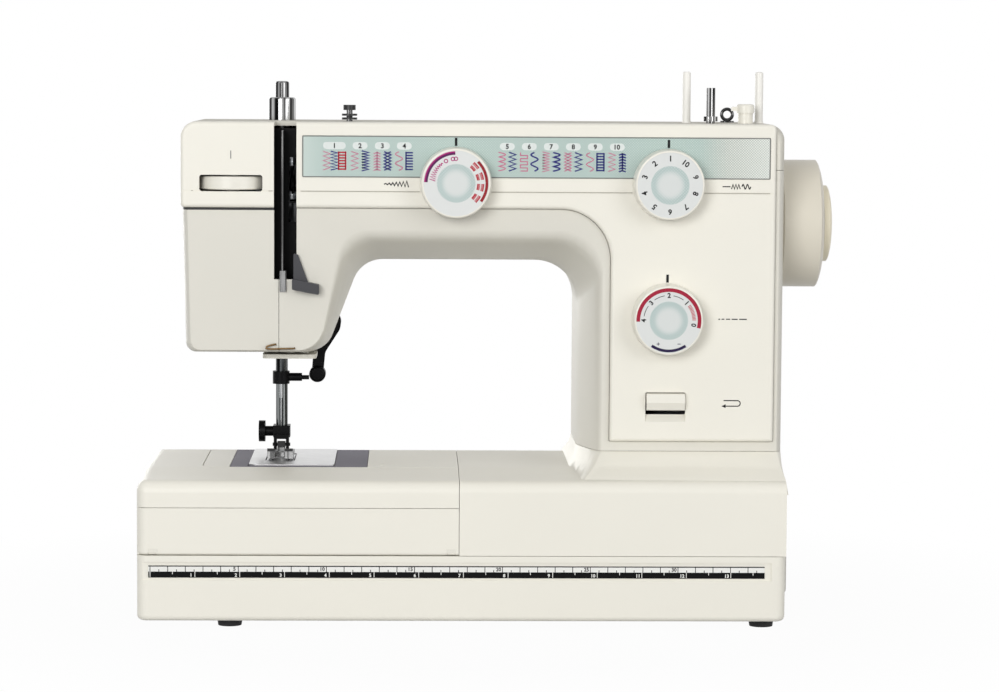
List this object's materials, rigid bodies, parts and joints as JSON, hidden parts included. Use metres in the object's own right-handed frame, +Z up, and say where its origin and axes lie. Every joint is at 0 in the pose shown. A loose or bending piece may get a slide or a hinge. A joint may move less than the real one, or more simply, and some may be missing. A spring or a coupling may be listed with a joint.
{
  "type": "sewing machine",
  "caption": "Free-arm domestic sewing machine with a cream casing, round front dials, a handwheel, a pull-off extension table and its drive train inside.",
  "frame": {"origin": "under the middle of the whole machine, on the surface it stands on", "axes": "+X to the handwheel on the right, front towards -Y, +Z up"},
  "size_m": [0.403, 0.178, 0.318],
  "materials": {
    "casing": "satin cream plastic",
    "panel": "satin cream plastic",
    "strip": "printed pale blue strip",
    "knob": "cream plastic",
    "dark_plate": "dark grey violet",
    "bright_steel": "bright",
    "chrome": "polished",
    "machined_steel": "machined",
    "cast_frame": "as cast",
    "bronze": "sintered",
    "black_plastic": "black",
    "grey_plastic": "dark grey",
    "rubber": "black",
    "ruler": "printed strip",
    "motor_shell": "black",
    "lamp_glass": "frosted"
  },
  "bodies": {
    "body": {"base_tray": "casing", "ruler_strip": "ruler", "rubber_feet": "rubber", "bed_cover": "casing", "free_arm_cover": "casing", "bed_plates": "dark_plate", "needle_plate": "bright_steel", "front_panel": "panel", "head_panel": "panel", "control_strip": "strip", "front_cover": "casing", "rear_cover": "casing", "top_cover": "casing", "main_frame": "cast_frame", "shaft_bushes": "bronze", "thread_channel": "black_plastic", "thread_guides": "bright_steel", "check_spring_guide": "grey_plastic", "motor": "motor_shell", "belts": "rubber", "bobbin_and_case": "machined_steel", "lamp": "lamp_glass", "socket_plate": "grey_plastic", "winder_stop": "knob", "cover_screws": "machined_steel"},
    "main_shaft": {"upper_shaft": "machined_steel", "drive_pulleys": "black_plastic", "handwheel": "knob"},
    "clutch": {"clutch_knob": "knob"},
    "rotor": {"motor_rotor": "machined_steel"},
    "lower_shaft": {"lower_shaft": "machined_steel"},
    "hook": {"rotary_hook": "machined_steel"},
    "cams": {"cam_stack": "black_plastic"},
    "gate": {"needle_bar_gate": "machined_steel"},
    "needle_bar": {"needle_bar": "bright_steel", "connecting_rod": "machined_steel", "needle_clamp": "black_plastic", "needle": "bright_steel"},
    "take_up": {"take_up_lever": "bright_steel"},
    "lifter": {"lifter_lever": "black_plastic"},
    "presser_bar": {"presser_bar": "bright_steel", "foot_holder": "black_plastic"},
    "presser_foot": {"presser_foot": "bright_steel"},
    "width_dial": {"width_dial": "knob"},
    "pattern_dial": {"pattern_dial": "knob"},
    "length_dial": {"length_dial": "knob"},
    "tension_dial": {"tension_dial": "knob"},
    "reverse_lever": {"reverse_lever": "knob"},
    "face_cover": {"face_cover": "casing"},
    "extension_table": {"extension_table": "casing"},
    "accessory_flap": {"accessory_flap": "casing"},
    "left_spool_pin": {"left_spool_pin": "knob"},
    "right_spool_pin": {"right_spool_pin": "knob"},
    "winder_carriage": {"winder_carriage": "black_plastic"},
    "winder_spindle": {"winder_spindle": "chrome"},
    "power_switch": {"power_switch": "black_plastic"},
    "pressure_pin": {"pressure_pin": "chrome"},
    "pressure_collar": {"pressure_collar": "black_plastic"},
    "carry_handle": {"carry_handle": "grey_plastic"},
    "feed_dog": {"feed_dog": "bright_steel"}
  },
  "joints": [
    {"name": "handwheel_turn", "type": "hinge", "parent": "body", "child": "main_shaft", "pos_m": [0, 0, 0.229], "axis": [1, 0, 0], "continuous": true},
    {"name": "clutch_knob_turn", "type": "hinge", "parent": "main_shaft", "child": "clutch", "pos_m": [0.2, 0, 0.229], "axis": [1, 0, 0], "range_deg": [0, 90]},
    {"name": "motor_spin", "type": "hinge", "parent": "body", "child": "rotor", "pos_m": [0.12, -0.03, 0.076], "axis": [1, 0, 0], "continuous": true},
    {"name": "lower_shaft_spin", "type": "hinge", "parent": "body", "child": "lower_shaft", "pos_m": [0, 0.022, 0.066], "axis": [1, 0, 0], "continuous": true},
    {"name": "hook_spin", "type": "hinge", "parent": "body", "child": "hook", "pos_m": [-0.123, 0, 0.066], "axis": [0, 1, 0], "continuous": true},
    {"name": "pattern_cam_spin", "type": "hinge", "parent": "body", "child": "cams", "pos_m": [0.1005, 0, 0.2556], "axis": [0, 1, 0], "continuous": true},
    {"name": "needle_swing", "type": "hinge", "parent": "body", "child": "gate", "pos_m": [-0.134, 0, 0.257], "axis": [0, 1, 0], "range_deg": [-0.95, 0.95]},
    {"name": "needle_stroke", "type": "slide", "parent": "gate", "child": "needle_bar", "axis": [0, 0, 1], "range_m": [-0.03, 0]},
    {"name": "take_up_swing", "type": "hinge", "parent": "body", "child": "take_up", "pos_m": [-0.115, -0.03, 0.245], "axis": [1, 0, 0], "range_deg": [0, 68]},
    {"name": "lifter_turn", "type": "hinge", "parent": "body", "child": "lifter", "pos_m": [-0.108, 0.0385, 0.172], "axis": [0, -1, 0], "range_deg": [0, 75]},
    {"name": "presser_lift", "type": "slide", "parent": "body", "child": "presser_bar", "axis": [0, 0, 1], "range_m": [0, 0.006]},
    {"name": "presser_foot_tilt", "type": "hinge", "parent": "presser_bar", "child": "presser_foot", "pos_m": [-0.123, 0.005, 0.0957], "axis": [1, 0, 0], "range_deg": [-5, 3]},
    {"name": "width_dial_turn", "type": "hinge", "parent": "body", "child": "width_dial", "pos_m": [-0.021, -0.07, 0.254], "axis": [0, 1, 0], "range_deg": [-150, 90]},
    {"name": "pattern_dial_turn", "type": "hinge", "parent": "body", "child": "pattern_dial", "pos_m": [0.1005, -0.07, 0.2535], "axis": [0, 1, 0], "continuous": true},
    {"name": "length_dial_turn", "type": "hinge", "parent": "body", "child": "length_dial", "pos_m": [0.1005, -0.07, 0.1765], "axis": [0, 1, 0], "range_deg": [-150, 90]},
    {"name": "tension_dial_turn", "type": "hinge", "parent": "body", "child": "tension_dial", "pos_m": [-0.1492, -0.0463, 0.253], "axis": [0, 0, 1], "range_deg": [-150, 150]},
    {"name": "reverse_press", "type": "hinge", "parent": "body", "child": "reverse_lever", "pos_m": [0.1, -0.0425, 0.1309], "axis": [1, 0, 0], "range_deg": [0, 8], "stiffness_Nm_per_rad": 0.4, "springref_deg": -5.73},
    {"name": "face_cover_swing", "type": "hinge", "parent": "body", "child": "face_cover", "pos_m": [-0.17403, 0.018, 0.2], "axis": [0.0224, 0, -0.9997], "range_deg": [0, 85]},
    {"name": "table_pull", "type": "slide", "parent": "body", "child": "extension_table", "axis": [-1, 0, 0], "range_m": [0, 0.19]},
    {"name": "accessory_flap_open", "type": "hinge", "parent": "extension_table", "child": "accessory_flap", "pos_m": [-0.11, -0.0875, 0.0444], "axis": [1, 0, 0], "range_deg": [0, 80]},
    {"name": "left_spool_pin_push", "type": "slide", "parent": "body", "child": "left_spool_pin", "axis": [0, 0, 1], "range_m": [-0.014, 0]},
    {"name": "right_spool_pin_push", "type": "slide", "parent": "body", "child": "right_spool_pin", "axis": [0, 0, 1], "range_m": [-0.014, 0]},
    {"name": "winder_shift", "type": "slide", "parent": "body", "child": "winder_carriage", "axis": [1, 0, 0], "range_m": [0, 0.005]},
    {"name": "winder_spin", "type": "hinge", "parent": "winder_carriage", "child": "winder_spindle", "pos_m": [0.1277, -0.025, 0.29], "axis": [0, 0, 1], "continuous": true},
    {"name": "power_switch_rock", "type": "hinge", "parent": "body", "child": "power_switch", "pos_m": [0.173, 0.028, 0.052], "axis": [0, 1, 0], "range_deg": [-8, 8]},
    {"name": "pressure_pin_push", "type": "slide", "parent": "body", "child": "pressure_pin", "axis": [0, 0, 1], "range_m": [-0.005, 0]},
    {"name": "pressure_collar_push", "type": "slide", "parent": "body", "child": "pressure_collar", "axis": [0, 0, 1], "range_m": [-0.004, 0], "stiffness_N_per_m": 600, "springref_m": 0.001},
    {"name": "carry_handle_lift", "type": "hinge", "parent": "body", "child": "carry_handle", "pos_m": [0, 0.0655, 0.25], "axis": [1, 0, 0], "range_deg": [0, 170]},
    {"name": "feed_stroke", "type": "slide", "parent": "body", "child": "feed_dog", "axis": [0, 1, 0], "range_m": [-0.0025, 0.0025]}
  ],
  "couplings": [
    {"joint": "motor_spin", "follows": "handwheel_turn", "ratio": 4},
    {"joint": "lower_shaft_spin", "follows": "handwheel_turn", "ratio": 2},
    {"joint": "hook_spin", "follows": "handwheel_turn", "ratio": 2},
    {"joint": "pattern_cam_spin", "follows": "handwheel_turn", "ratio": 0.041667},
    {"joint": "lifter_turn", "follows": "presser_lift", "rad_per_m": 217.4}
  ]
}
